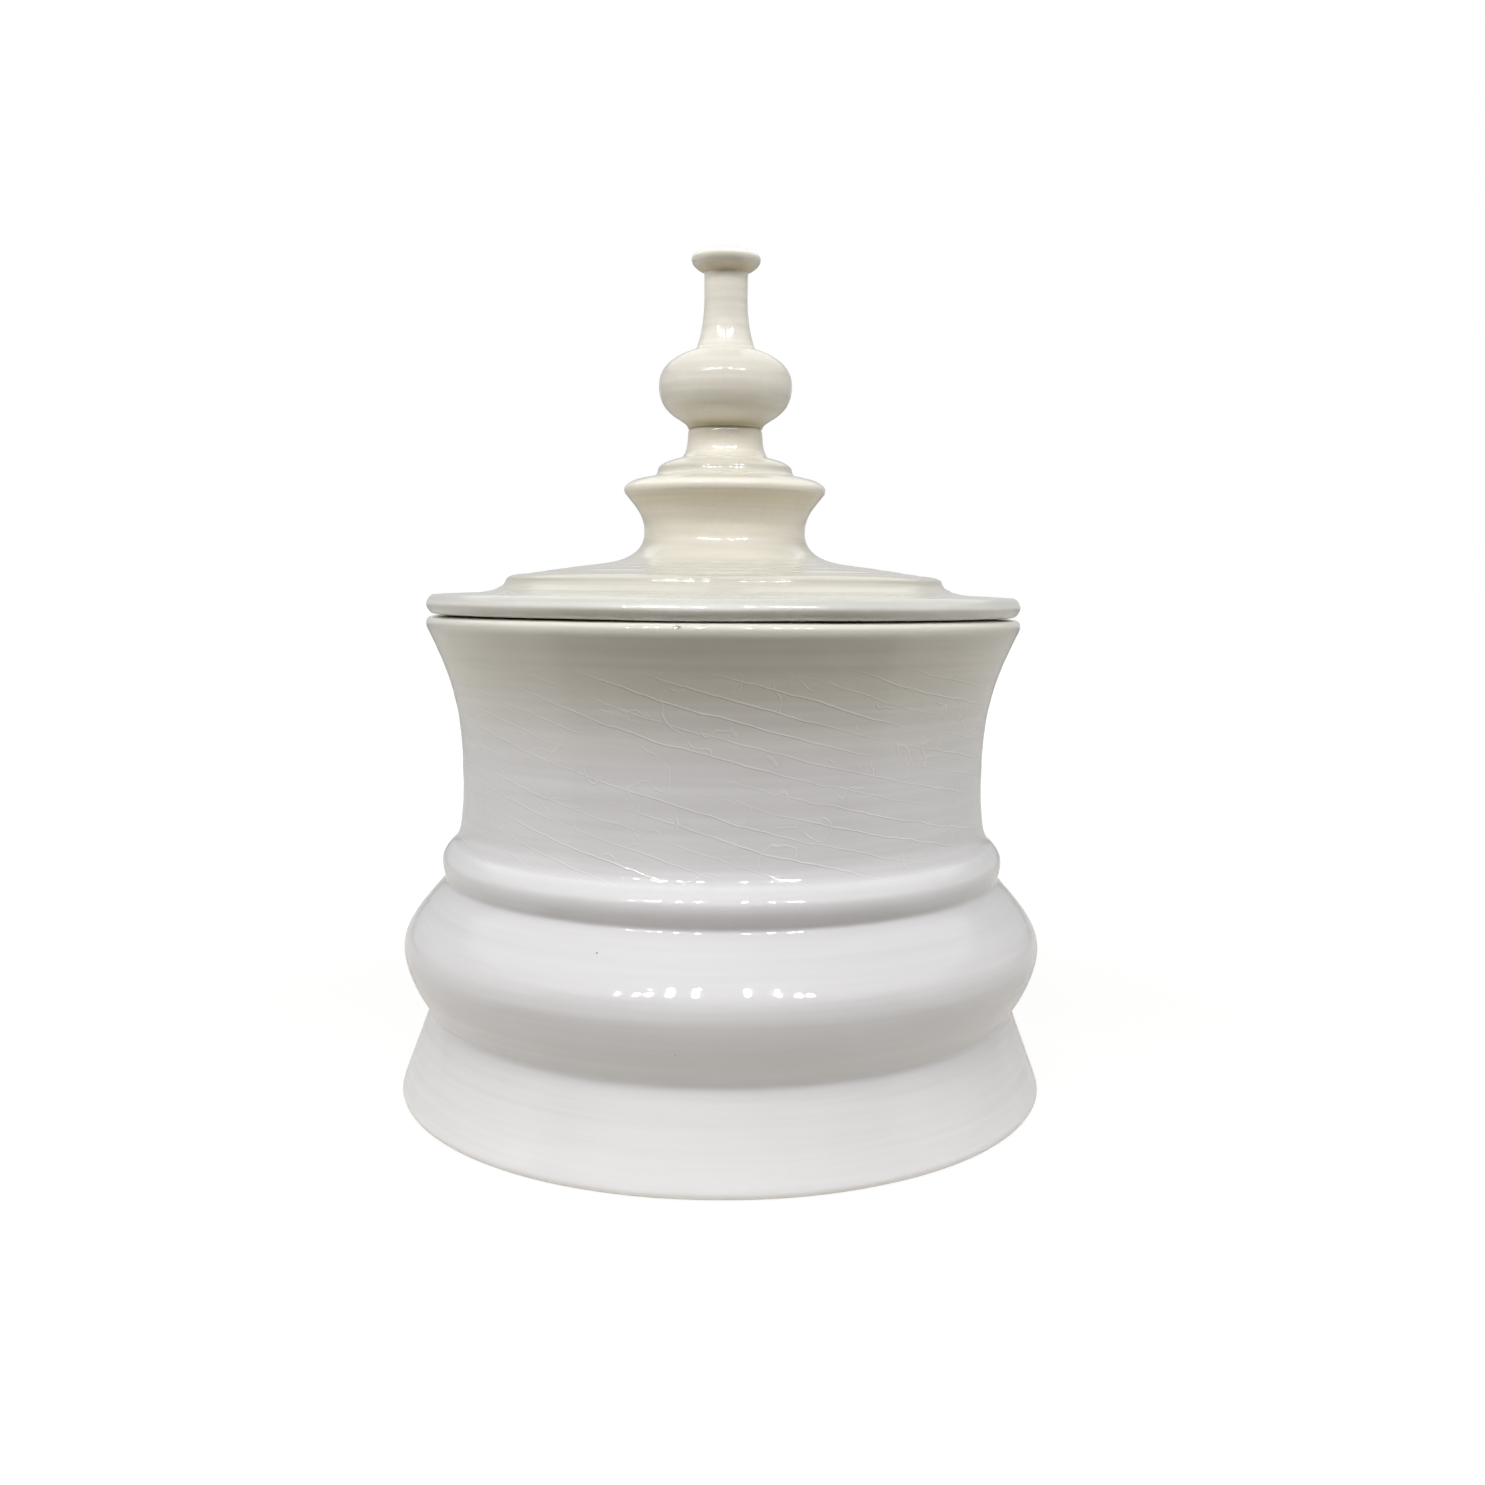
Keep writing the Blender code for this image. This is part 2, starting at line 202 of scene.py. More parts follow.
# Lid. The flange droops a little in front: sagAt and sagWidth in degrees, sagDepth and sagBelow in mm
lid = {
    "neckTop": (13.6, 259.1), "neck": (14.5, 257.6), "tierTop": (17.6, 247.4), "tier": (26.2, 243.2),
    "tierFoot": (28.7, 240.2), "discTop": (34.0, 239.1), "disc": (39.4, 235.5), "discUnder": (38.6, 233.3),
    "collar": (31.5, 218.8), "domeTop": (47.8, 206.4), "domeFoot": (77.3, 202.1), "stepTop": (85.1, 199.8),
    "fillet": (98.3, 194.8), "flangeTop": (112.4, 194.1), "flange": (115.3, 190.3),
    "flangeUnder": (112.4, 186.75),
    "outside": [
        ("neck", straight, 0.5), ("tierTop", ((0, 0.55), (0.30, 0.92)), 0.5),
        ("tier", ((0.40, 0.15), (0.95, 0.55)), 0.5), ("tierFoot", downThenIn, 0.4), ("discTop", straight, 0.6),
        ("disc", ((0.40, 0.15), (0.95, 0.55)), 0.4), ("discUnder", downThenIn, 0.35),
        ("collar", ((0.35, 0.25), (1, 0.50)), 0.6), ("domeTop", ((0, 0.66), (0.47, 0.90)), 0.6),
        ("domeFoot", ((0.30, 0.26), (0.75, 0.68)), 0.45), ("stepTop", outThenDown, 0.4),
        ("fillet", ((0.05, 0.60), (0.45, 1.0)), 0.6), ("flangeTop", straight, 0.5),
        ("flange", ((0.50, 0.05), (0.92, 0.60)), 0.35), ("flangeUnder", ((0.12, 0.35), (0.50, 1.0)), 0.35),
    ],
    "lines": [((52.0, 205.9), 0.22, 0.5), ((62.0, 204.6), 0.18, 0.45), ((71.0, 203.3), 0.25, 0.6),
              ((86.4, 197.6), 0.15, 0.7), ((89.5, 196.0), 0.18, 0.6), ((98.3, 194.8), 0.22, 0.7)],
    "skirt": (101.3, 174.7), "skirtWall": 6.0, "skirtRound": 1.2, "wall": 6.5,
    "segments": 192, "rings": (0.05, 3.5, 7), "uneven": (0.30, 60.0), "soft": 2,
    "sagAt": -5.0, "sagWidth": 13.0, "sagDepth": 0.45, "sagBelow": 1.0,
}


def makeLid():
    outside = [lid["neckTop"]]
    followMouldings(outside, lid, "outside")
    outside = turnedLines(softGlaze(outside, lid["soft"]), lid["lines"])
    outside = throwingMarks(outside, *lid["rings"])

    skirtRadius, skirtFoot = lid["skirt"]
    skirtInner = skirtRadius - lid["skirtWall"]
    rounding, wall = lid["skirtRound"], lid["wall"]
    hollow = lid["collar"][0] - wall
    underside = [
        ((skirtRadius, lid["flangeUnder"][1]), straight, 1.5),
        ((skirtRadius, skirtFoot + rounding), straight, 2),
        ((skirtRadius - rounding, skirtFoot), downThenIn, 0.5),
        ((skirtInner + rounding, skirtFoot), straight, 1.2),
        ((skirtInner, skirtFoot + rounding), outThenDown, 0.5),
        ((skirtInner, lid["fillet"][1] - wall), straight, 2),
        ((lid["domeFoot"][0] - wall, lid["domeFoot"][1] - wall), ((0.2, 0.5), (0.6, 0.9)), 2),
        ((lid["domeTop"][0] - wall, lid["domeTop"][1] - wall), straight, 3),
        ((hollow, lid["collar"][1]), ((0.6, 0.2), (1, 0.5)), 1.5),
        ((hollow, lid["discUnder"][1] - wall / 2), straight, 2),
        ((0.0, lid["tier"][1] - wall), ((0, 0.9), (0.3, 1)), 2),
    ]
    inside = [outside[-1]]
    for end, handles, step in underside:
        drawTo(inside, end, handles, step)
    top = [(0.0, lid["neckTop"][1])]
    piece = turnOutline("jarLid", top + outside + inside[1:], lid["segments"])
    unevenness(piece, *lid["uneven"])
    sagFlange(piece)
    return piece


def sagFlange(piece):
    # the flange sagged in the kiln, so the dark line under it narrows in front
    lowest = (lid["flangeUnder"][1] - lid["sagBelow"]) * mm
    for vertex in piece.data.vertices:
        radius = math.hypot(vertex.co.x, vertex.co.y) / mm
        if radius < lid["skirt"][0] or vertex.co.z < lowest:
            continue
        turn = math.degrees(math.atan2(vertex.co.x, -vertex.co.y)) - lid["sagAt"]
        share = (radius - lid["skirt"][0]) / (lid["flange"][0] - lid["skirt"][0])
        vertex.co.z -= lid["sagDepth"] * mm * share * math.exp(-(turn / lid["sagWidth"]) ** 2)


lidPiece = makeLid()


# Finial, luted to the lid's neck
finial = {
    "top": (0.0, 327.0), "button": (13.35, 323.1), "buttonFoot": (8.35, 318.3), "stem": (8.3, 309.2),
    "stemFoot": (11.1, 290.2), "knopTop": (12.3, 288.8), "knop": (25.9, 275.4), "knopUnder": (18.5, 262.7),
    "joint": (14.5, 258.9),
    "outside": [
        ("button", ((0.70, 0.02), (1, 0.50)), 0.5), ("buttonFoot", ((0, 0.43), (0.475, 0.824)), 0.4),
        ("stem", straight, 0.8), ("stemFoot", ((0, 0.45), (0.50, 0.80)), 0.8),
        ("knopTop", ((0.2, 0.6), (0.6, 0.9)), 0.4), ("knop", ((0.66, 0.22), (1, 0.54)), 0.5),
        ("knopUnder", ((0, 0.50), (0.322, 0.764)), 0.5), ("joint", ((0.536, 0.342), (0.975, 0.63)), 0.4),
    ],
    "segments": 128, "rings": (0.05, 3.5, 12), "uneven": (0.30, 60.0), "soft": 2,
}


def makeFinial():
    outside = [finial["top"]]
    followMouldings(outside, finial, "outside")
    outside = throwingMarks(softGlaze(outside, finial["soft"]), *finial["rings"])
    piece = turnOutline("lidFinial", outside + [(0.0, finial["joint"][1])], finial["segments"])
    unevenness(piece, *finial["uneven"])
    return piece


finialPiece = makeFinial()


# Materials. Sizes are in mm, a span is what a value runs from and to and what it turns into
noiseSpan = (0.3, 0.7)  # most of a noise texture's values lie here


def srgb(hexColour):
    parts = [int(hexColour[i:i + 2], 16) / 255 for i in (1, 3, 5)]
    return [p / 12.92 if p <= 0.04045 else ((p + 0.055) / 1.055) ** 2.4 for p in parts] + [1.0]


def spanned(span):
    return dict(zip(("i1", "i2", "i3", "i4"), span))


def addNode(tree, kind, settings=None, **inputs):
    # one node, with its settings, and each input either a plain value or another node's output
    node = tree.nodes.new(kind)
    for key, value in (settings or {}).items():
        setattr(node, key, value)
    for key, value in inputs.items():
        socket = node.inputs[int(key[1:])] if key[0] == "i" and key[1:].isdigit() else node.inputs[key]
        if isinstance(value, bpy.types.NodeSocket):
            tree.links.new(value, socket)
        else:
            socket.default_value = value
    return node


def newMaterial(name):
    material = bpy.data.materials.new(name)
    material.use_nodes = True
    material.node_tree.nodes.clear()
    return material, material.node_tree


def tonesByHeight(tree, height, look):
    # the glaze's tone at each height, blended between the listed ones
    low, high = look["tones"][0][0], look["tones"][-1][0]
    share = addNode(tree, "ShaderNodeMapRange", Value=height, i1=low * mm, i2=high * mm)
    tones = addNode(tree, "ShaderNodeValToRGB", Fac=share.outputs[0])
    stops = tones.color_ramp.elements
    while len(stops) < len(look["tones"]):
        stops.new(0.5)
    for stop, (level, tone) in zip(stops, look["tones"]):
        stop.position = (level - low) / (high - low)
        stop.color = srgb(look[tone])
    return tones.outputs["Color"]


def wheelLines(tree, look, coords):
    # wheel lines lie level, so this noise is squeezed along the axis
    along, across = 1 / (look["wheelRun"] * mm), 1 / (look["wheelPitch"] * mm)
    squeezed = addNode(tree, "ShaderNodeMapping", Vector=coords, Scale=(along, along, across))
    wheel = addNode(tree, "ShaderNodeTexNoise", Vector=squeezed.outputs[0], Scale=1.0, Detail=3.0)
    return wheel.outputs["Fac"]


def withPinholes(tree, look, coords, colour):
    holes = addNode(tree, "ShaderNodeTexVoronoi", Vector=coords, Scale=1 / (look["pinholeSpacing"] * mm))
    hole = addNode(tree, "ShaderNodeMapRange", Value=holes.outputs["Distance"], **spanned(look["pinholeSpan"]))
    dotted = addNode(tree, "ShaderNodeMix", {"data_type": "RGBA"}, Factor=hole.outputs[0], i6=colour,
                     i7=srgb(look["pinhole"]))
    return dotted.outputs[2]


def finishGlaze(tree, look, coords, colour, wheel, ridges=None):
    # bumps, each as a strength and a height: orange peel, wheel lines and the ridges of the cracks
    peel = addNode(tree, "ShaderNodeTexNoise", Vector=coords, Scale=1 / (look["peelSize"] * mm), Detail=2.0)
    bumps = [(peel.outputs["Fac"], look["peelBump"]), (wheel, look["wheelBump"])]
    if ridges is not None:
        bumps.append((ridges, look["crackBump"]))
    normal = {}
    for height, (strength, rise) in bumps:
        bump = addNode(tree, "ShaderNodeBump", Strength=strength, Distance=rise * mm, Height=height, **normal)
        normal = {"Normal": bump.outputs[0]}
    glossSpan = noiseSpan + tuple(look["roughness"] * swing for swing in look["glossSwing"])
    gloss = addNode(tree, "ShaderNodeMapRange", Value=peel.outputs["Fac"], **spanned(glossSpan))
    shader = addNode(tree, "ShaderNodeBsdfPrincipled", i0=colour, IOR=look["ior"],
                     Roughness=gloss.outputs[0], **normal)
    addNode(tree, "ShaderNodeOutputMaterial", Surface=shader.outputs[0])


# Tin glaze over buff earthenware: dipped and fired to glossy glass, with painted shade that darkens the up-facing
# shoulders of the bead and belly, warmer near the lip, with long crackle that stands up as fine ridges, short
# cracks between them, faint wheel lines and a few pinholes. Real cracks are finer, these are as wide as they need
# to be to show
bodyGlaze = {
    "white": "#E6E5E6", "shoulder": "#DAD9DA", "warm": "#E7E5DA", "crack": "#F4F1F0",
    "pinhole": "#6E675E", "iron": "#7A4640", "roughness": 0.05, "glossSwing": (0.8, 1.2), "ior": 1.54,
    # the shoulder bands on the belly top and the bead top are painted shade: the up-facing glaze is darkened
    "tones": [(0, "white"), (62, "white"), (76, "shoulder"), (84, "shoulder"), (87, "white"), (94, "white"),
              (96.5, "shoulder"), (100.5, "shoulder"), (103.5, "white"), (135, "white"),
              (168, "warm"), (186, "warm")],
    "driftSize": 90.0, "wheelPitch": 2.4, "wheelRun": 1000 / 12, "streakSpan": (0.75, 1.25, 1.0, 0.94),
    "crackPitch": 6.8, "crackSlope": 0.29, "crackWidth": 0.8, "crackSway": 75.0, "crackShake": (9.0, 0.28),
    "crackRun": 80.0, "crackStagger": 0.3, "crackSpan": (0.38, 0.56, 0.10, 1.0), "crackShows": 0.24,
    "shortCrack": 15.0, "shortWidth": 0.014, "patchSize": 11.0, "patchSpan": (0.46, 0.58, 0.0, 0.8),
    "crackFoot": (96.0, 106.0), "crackTop": (164.0, 173.0), "belowBead": 0.06,
    "pinholeSpacing": 26.0, "pinholeSpan": (0.012, 0.020, 0.8, 0.0),
    "ironPlace": (-14.8, -114.2, 184.6), "ironSize": (1.7, 1.7, 0.7), "ironSpan": (0.35, 1.0, 0.75, 0.0),
    "peelSize": 9.0, "peelBump": (0.2, 0.3), "wheelBump": (0.18, 0.25), "crackBump": (1.0, 0.07),
}


def longCracks(tree, look, coords, axes):
    # long cracks lie in slanting planes, so they run straight and side by side across the wall
    shakeSize, shakeShare = look["crackShake"]
    sway = addNode(tree, "ShaderNodeTexNoise", Vector=coords, Scale=1 / (look["crackSway"] * mm), Detail=1.0)
    shake = addNode(tree, "ShaderNodeTexNoise", Vector=coords, Scale=1 / (shakeSize * mm), Detail=2.0)
    slant = addNode(tree, "ShaderNodeMath", {"operation": "MULTIPLY_ADD"}, i0=axes.outputs["X"],
                    i1=look["crackSlope"], i2=axes.outputs["Z"])
    swung = addNode(tree, "ShaderNodeMath", {"operation": "MULTIPLY_ADD"}, i0=slant.outputs[0],
                    i1=1 / (look["crackPitch"] * mm), i2=sway.outputs["Fac"])
    bent = addNode(tree, "ShaderNodeMath", {"operation": "MULTIPLY_ADD"}, i0=shake.outputs["Fac"],
                   i1=shakeShare, i2=swung.outputs[0])
    saw = addNode(tree, "ShaderNodeMath", {"operation": "FRACT"}, i0=bent.outputs[0])
    middle = addNode(tree, "ShaderNodeMath", {"operation": "SUBTRACT"}, i0=saw.outputs[0], i1=0.5)
    away = addNode(tree, "ShaderNodeMath", {"operation": "ABSOLUTE"}, i0=middle.outputs[0])
    half = look["crackWidth"] / 2 / look["crackPitch"]
    line = addNode(tree, "ShaderNodeMapRange", {"interpolation_type": "SMOOTHSTEP"}, Value=away.outputs[0],
                   **spanned((0.0, half, 1.0, 0.0)))
    # each crack is broken in its own places
    number = addNode(tree, "ShaderNodeMath", {"operation": "FLOOR"}, i0=bent.outputs[0])
    stagger = addNode(tree, "ShaderNodeMath", {"operation": "MULTIPLY"}, i0=number.outputs[0],
                      i1=look["crackStagger"])
    place = addNode(tree, "ShaderNodeCombineXYZ", X=axes.outputs["X"], Y=axes.outputs["Y"], Z=stagger.outputs[0])
    breaks = addNode(tree, "ShaderNodeTexNoise", Vector=place.outputs[0], Scale=1 / (look["crackRun"] * mm),
                     Detail=2.0)
    present = addNode(tree, "ShaderNodeMapRange", Value=breaks.outputs["Fac"], **spanned(look["crackSpan"]))
    broken = addNode(tree, "ShaderNodeMath", {"operation": "MULTIPLY"}, i0=line.outputs[0], i1=present.outputs[0])
    return broken.outputs[0]


def shortCracks(tree, look, coords):
    # short curved cracks between the long ones, in patches: the level line of a noise wanders as they do
    wander = addNode(tree, "ShaderNodeTexNoise", Vector=coords, Scale=1 / (look["shortCrack"] * mm), Detail=1.5)
    offLevel = addNode(tree, "ShaderNodeMath", {"operation": "SUBTRACT"}, i0=wander.outputs["Fac"], i1=0.5)
    away = addNode(tree, "ShaderNodeMath", {"operation": "ABSOLUTE"}, i0=offLevel.outputs[0])
    line = addNode(tree, "ShaderNodeMapRange", {"interpolation_type": "SMOOTHSTEP"}, Value=away.outputs[0],
                   **spanned((0.0, look["shortWidth"], 1.0, 0.0)))
    patch = addNode(tree, "ShaderNodeTexNoise", Vector=coords, Scale=1 / (look["patchSize"] * mm), Detail=2.0)
    here = addNode(tree, "ShaderNodeMapRange", Value=patch.outputs["Fac"], **spanned(look["patchSpan"]))
    patched = addNode(tree, "ShaderNodeMath", {"operation": "MULTIPLY"}, i0=line.outputs[0], i1=here.outputs[0])
    return patched.outputs[0]


def makeBodyGlaze():
    look = bodyGlaze
    material, tree = newMaterial("crackledTinGlaze")
    coords = addNode(tree, "ShaderNodeTexCoord").outputs["Object"]
    axes = addNode(tree, "ShaderNodeSeparateXYZ", Vector=coords)
    height = axes.outputs["Z"]
    drift = addNode(tree, "ShaderNodeTexNoise", Vector=coords, Scale=1 / (look["driftSize"] * mm), Detail=3.0)
    wheel = wheelLines(tree, look, coords)
    streaks = addNode(tree, "ShaderNodeMath", {"operation": "ADD"}, i0=drift.outputs["Fac"], i1=wheel)
    thin = addNode(tree, "ShaderNodeMapRange", Value=streaks.outputs[0], **spanned(look["streakSpan"]))
    tint = addNode(tree, "ShaderNodeVectorMath", {"operation": "SCALE"}, Scale=thin.outputs[0],
                   i0=tonesByHeight(tree, height, look))

    # the crackle keeps to the wall, and hardly any is left below the bead
    cracks = addNode(tree, "ShaderNodeMath", {"operation": "MAXIMUM"}, i0=longCracks(tree, look, coords, axes),
                     i1=shortCracks(tree, look, coords))
    footSpan = [level * mm for level in look["crackFoot"]] + [look["belowBead"], 1.0]
    topSpan = [level * mm for level in look["crackTop"]] + [1.0, 0.0]
    aboveBead = addNode(tree, "ShaderNodeMapRange", Value=height, **spanned(footSpan))
    belowLip = addNode(tree, "ShaderNodeMapRange", Value=height, **spanned(topSpan))
    onWall = addNode(tree, "ShaderNodeMath", {"operation": "MULTIPLY"}, i0=aboveBead.outputs[0],
                     i1=belowLip.outputs[0])
    crackle = addNode(tree, "ShaderNodeMath", {"operation": "MULTIPLY"}, i0=cracks.outputs[0],
                      i1=onWall.outputs[0])
    crackTone = addNode(tree, "ShaderNodeMath", {"operation": "MULTIPLY"}, i0=crackle.outputs[0],
                        i1=look["crackShows"])
    withCracks = addNode(tree, "ShaderNodeMix", {"data_type": "RGBA"}, Factor=crackTone.outputs[0],
                         i6=tint.outputs[0], i7=srgb(look["crack"]))
    withHoles = withPinholes(tree, look, coords, withCracks.outputs[2])

    # one spot of iron bled through on the lip
    fromIron = addNode(tree, "ShaderNodeVectorMath", {"operation": "SUBTRACT"}, i0=coords,
                       i1=[v * mm for v in look["ironPlace"]])
    ironScaled = addNode(tree, "ShaderNodeVectorMath", {"operation": "MULTIPLY"}, i0=fromIron.outputs[0],
                         i1=[1 / (v * mm) for v in look["ironSize"]])
    ironAway = addNode(tree, "ShaderNodeVectorMath", {"operation": "LENGTH"}, i0=ironScaled.outputs[0])
    iron = addNode(tree, "ShaderNodeMapRange", Value=ironAway.outputs["Value"], **spanned(look["ironSpan"]))
    colour = addNode(tree, "ShaderNodeMix", {"data_type": "RGBA"}, Factor=iron.outputs[0], i6=withHoles,
                     i7=srgb(look["iron"]))
    finishGlaze(tree, look, coords, colour.outputs[2], wheel, crackle.outputs[0])
    return material


# Ivory glaze: the same glass, with painted shade that darkens the up-facing ledges, dome, flange top and knop
# top, painted light that brightens the upright collar and neck, the flange's lower edge and the stem under the
# button, and a warm darker tone in the creases that is partly pooled glaze and partly painted shade. The flange
# was dipped with the jar, so it is white up to the foot of the step
lidGlaze = {
    # the flange top, dome, ledges and knop top tones are painted shade, darker because these faces look up; the
    # flange keeps the white glaze's neutral hue
    "lip": "#ECEBE5", "flange": "#D0D0C9", "dome": "#CCC8BC", "shadedLedge": "#D0CCBF", "collar": "#F5EFE1",
    "shadedCove": "#EBE3D0", "poolAndShade": "#DACFB0", "finial": "#EEEADE", "knopTop": "#D8D4C8", "litStemTop": "#FBF7EB",
    "pinhole": "#6E675E", "crack": "#CFC8B4", "roughness": 0.09, "glossSwing": (0.8, 1.2), "ior": 1.54,
    # the collar tone on the upright collar and neck, the lip tone on the flange's lower edge and the stem-top
    # tone under the button are painted light
    "tones": [(186, "lip"), (190.8, "lip"), (192.6, "flange"), (194.85, "flange"), (195.5, "dome"), (206, "dome"),
              (208, "shadedLedge"), (213, "shadedLedge"), (219, "collar"), (226, "collar"), (230.5, "shadedCove"), (232.3, "shadedCove"),
              (234, "collar"), (236, "collar"), (238, "shadedLedge"), (247, "shadedLedge"), (251, "collar"),
              # the crease tones under the disc, the knop and the button are partly pooled glaze and partly
              # painted shade
              (257.9, "collar"), (258.6, "poolAndShade"), (260, "poolAndShade"), (262.5, "finial"), (276, "finial"),
              (281, "knopTop"), (288.5, "knopTop"), (291, "finial"), (308, "finial"), (314, "litStemTop"),
              (317.6, "litStemTop"), (318.2, "poolAndShade"), (318.9, "poolAndShade"), (320.5, "finial")],
    "driftSize": 40.0, "driftTone": (0.97, 1.02), "wheelPitch": 2.0, "wheelRun": 62.5, "bandTone": (0.93, 1.03),
    "crazeSize": 7.0, "crazeSpan": (0.008, 0.03, 0.12, 0.0),
    "pinholeSpacing": 20.0, "pinholeSpan": (0.014, 0.024, 0.8, 0.0),
    "peelSize": 7.0, "peelBump": (0.2, 0.3), "wheelBump": (0.06, 0.3),
}


def makeLidGlaze(name):
    look = lidGlaze
    material, tree = newMaterial(name)
    coords = addNode(tree, "ShaderNodeTexCoord").outputs["Object"]
    axes = addNode(tree, "ShaderNodeSeparateXYZ", Vector=coords)
    tones = tonesByHeight(tree, axes.outputs["Z"], look)
    drift = addNode(tree, "ShaderNodeTexNoise", Vector=coords, Scale=1 / (look["driftSize"] * mm), Detail=3.0)
    shade = addNode(tree, "ShaderNodeMapRange", Value=drift.outputs["Fac"],
                    **spanned(noiseSpan + look["driftTone"]))
    wheel = wheelLines(tree, look, coords)
    bands = addNode(tree, "ShaderNodeMapRange", Value=wheel, **spanned(noiseSpan + look["bandTone"]))
    banded = addNode(tree, "ShaderNodeMath", {"operation": "MULTIPLY"}, i0=shade.outputs[0], i1=bands.outputs[0])
    tint = addNode(tree, "ShaderNodeVectorMath", {"operation": "SCALE"}, i0=tones, Scale=banded.outputs[0])
    cells = addNode(tree, "ShaderNodeTexVoronoi", {"feature": "DISTANCE_TO_EDGE"}, Vector=coords,
                    Scale=1 / (look["crazeSize"] * mm))
    craze = addNode(tree, "ShaderNodeMapRange", Value=cells.outputs["Distance"], **spanned(look["crazeSpan"]))
    withCraze = addNode(tree, "ShaderNodeMix", {"data_type": "RGBA"}, Factor=craze.outputs[0],
                        i6=tint.outputs[0], i7=srgb(look["crack"]))
    colour = withPinholes(tree, look, coords, withCraze.outputs[2])
    finishGlaze(tree, look, coords, colour, wheel)
    return material


# Fired earthenware left bare on the standing ring: matt and faintly sandy, because it touched the kiln shelf
bisque = {"pale": "#DCD6CA", "dark": "#C9C0B0", "grainSize": 0.9, "grainBump": (0.3, 0.2), "roughness": 0.85,
          "bareBelow": 0.9, "slot": 1}


def makeBisque():
    material, tree = newMaterial("bareEarthenware")
    coords = addNode(tree, "ShaderNodeTexCoord").outputs["Object"]
    grain = addNode(tree, "ShaderNodeTexNoise", Vector=coords, Scale=1 / (bisque["grainSize"] * mm), Detail=4.0)
    colour = addNode(tree, "ShaderNodeMix", {"data_type": "RGBA"}, Factor=grain.outputs["Fac"],
                     i6=srgb(bisque["pale"]), i7=srgb(bisque["dark"]))
    strength, rise = bisque["grainBump"]
    bump = addNode(tree, "ShaderNodeBump", Strength=strength, Distance=rise * mm, Height=grain.outputs["Fac"])
    shader = addNode(tree, "ShaderNodeBsdfPrincipled", i0=colour.outputs[2], Roughness=bisque["roughness"],
                     Normal=bump.outputs[0])
    addNode(tree, "ShaderNodeOutputMaterial", Surface=shader.outputs[0])
    return material


jarBody.data.materials.append(makeBodyGlaze())
jarBody.data.materials.append(makeBisque())
for face in jarBody.data.polygons:
    if face.center.z < bisque["bareBelow"] * mm:
        face.material_index = bisque["slot"]
lidPiece.data.materials.append(makeLidGlaze("ivoryGlazeLid"))
finialPiece.data.materials.append(makeLidGlaze("ivoryGlazeFinial"))
settle(jarBody, "jar_body", "jar")
settle(lidPiece, "lid", "lid")
settle(finialPiece, "finial", "lid")
print("glazes fired")


# Camera: held level with the lid, a little over half a metre away. Pixels, degrees and metres, the sensor in mm
photo = {
    "size": 1485, "focal": 1440, "horizonRow": 590, "axisColumn": 723.1, "roll": 0.45,
    "distance": 0.5723, "eyeHeight": 0.1965, "sensor": 36.0, "nearest": 0.01,
}


def makeCamera():
    middle = photo["size"] / 2
    tilt = math.atan((middle - photo["horizonRow"]) / photo["focal"])
    swing = math.atan((middle - photo["axisColumn"]) / photo["focal"])
    camera = bpy.data.objects.new("camera", bpy.data.cameras.new("camera"))
    scene.collection.objects.link(camera)
    turned = Matrix.Rotation(-swing, 4, "Z") @ Matrix.Rotation(math.pi / 2 - tilt, 4, "X")
    turned = turned @ Matrix.Rotation(math.radians(photo["roll"]), 4, "Z")
    camera.matrix_world = Matrix.Translation((0, -photo["distance"], photo["eyeHeight"])) @ turned
    camera.data.sensor_width = photo["sensor"]
    camera.data.lens = photo["sensor"] * photo["focal"] / photo["size"]
    camera.data.clip_start = photo["nearest"]
    scene.camera = camera


makeCamera()
print("camera placed")


# Studio: a white sheet under the jar on a floor that is dark in front and pale at the sides, a ring of soft
# boxes high in front, dim walls, and small ceiling lamps that glint in the glaze. Metres, watts and radians,
# the boxes' turn and rise in degrees
studio = {
    "floorSize": 12.0, "sheetTone": "#E6E3DD", "farTone": "#5E5245", "sheetEdge": (0.185, 0.205),
    "darkFront": (1.06, 1.13), "floorGlow": 0.86, "floorInGlaze": 0.2, "floorWhite": (1.06, 1.25),
    "whiteFrom": (0.25, 0.9),
    "wallFront": 0.05, "wallSide": 0.20, "wallBack": 0.18, "frontEdge": (1.10, 1.17), "backEdge": (2.05, 2.20),
    "skyTop": 0.12, "wallTop": (0.42, 0.47), "inGlaze": 3.4, "skyInGlaze": 1.3, "skySeen": 1.0,
    # turn, rise and watts
    "boxes": [(-80, 34, 7.0), (-40, 50, 12.8), (0, 56, 16.2), (40, 50, 11.4), (80, 34, 4.8)],
    "boxAway": 2.0, "boxSize": (0.9, 0.7),
    "lamps": (-1.17, -0.90, -0.76, -0.52, -0.26, 0.26, 0.58, 0.84, 0.98),
    "lampDepth": -1.45, "lampHeight": 1.46, "lampSize": (0.055, 0.15), "lampPower": 3.2,
    "aim": (0.0, 0.0, 0.14),
}


def bearingFromFront(tree, axes):
    # the angle from straight in front, the same to the left and the right
    front = addNode(tree, "ShaderNodeMath", {"operation": "MULTIPLY"}, i0=axes.outputs["Y"], i1=-1.0)
    turn = addNode(tree, "ShaderNodeMath", {"operation": "ARCTAN2"}, i0=axes.outputs["X"], i1=front.outputs[0])
    bearing = addNode(tree, "ShaderNodeMath", {"operation": "ABSOLUTE"}, i0=turn.outputs[0])
    return bearing.outputs[0]


